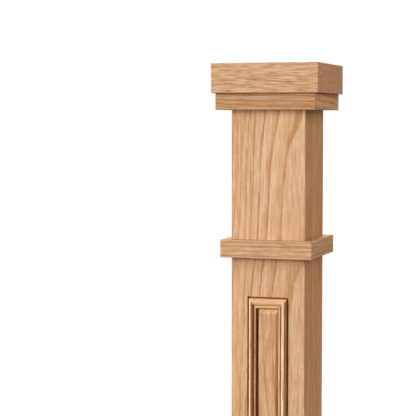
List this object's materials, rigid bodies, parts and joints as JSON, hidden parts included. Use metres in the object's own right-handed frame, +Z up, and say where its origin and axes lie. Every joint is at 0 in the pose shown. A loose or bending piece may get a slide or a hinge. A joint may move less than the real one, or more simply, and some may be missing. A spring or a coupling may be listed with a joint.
{
  "type": "newel post",
  "caption": "Square hollow box newel post for a staircase, with a raised panel framed in moulding, a collar and a flat stepped cap.",
  "frame": {"origin": "centre of the foot, on the floor", "axes": "+Z up the post, -Y out of the face that has the panel, +X to the right of that face"},
  "size_m": [0.1712, 0.1712, 1.397],
  "materials": {
    "oak_boards": "clear satin oak",
    "oak_cap": "clear satin oak",
    "oak_strips": "clear satin oak",
    "oak_panel": "clear satin oak",
    "oak_moulding": "clear satin oak"
  },
  "bodies": {
    "root": {"front_board": "oak_boards", "right_board": "oak_boards", "back_board": "oak_boards", "left_board": "oak_boards", "cap_plank": "oak_cap", "apron_front": "oak_strips", "apron_right": "oak_strips", "apron_back": "oak_strips", "apron_left": "oak_strips", "collar_front": "oak_strips", "collar_right": "oak_strips", "collar_back": "oak_strips", "collar_left": "oak_strips", "raised_panel": "oak_panel", "mould_top": "oak_moulding", "mould_bottom": "oak_moulding", "mould_left": "oak_moulding", "mould_right": "oak_moulding"}
  },
  "joints": []
}
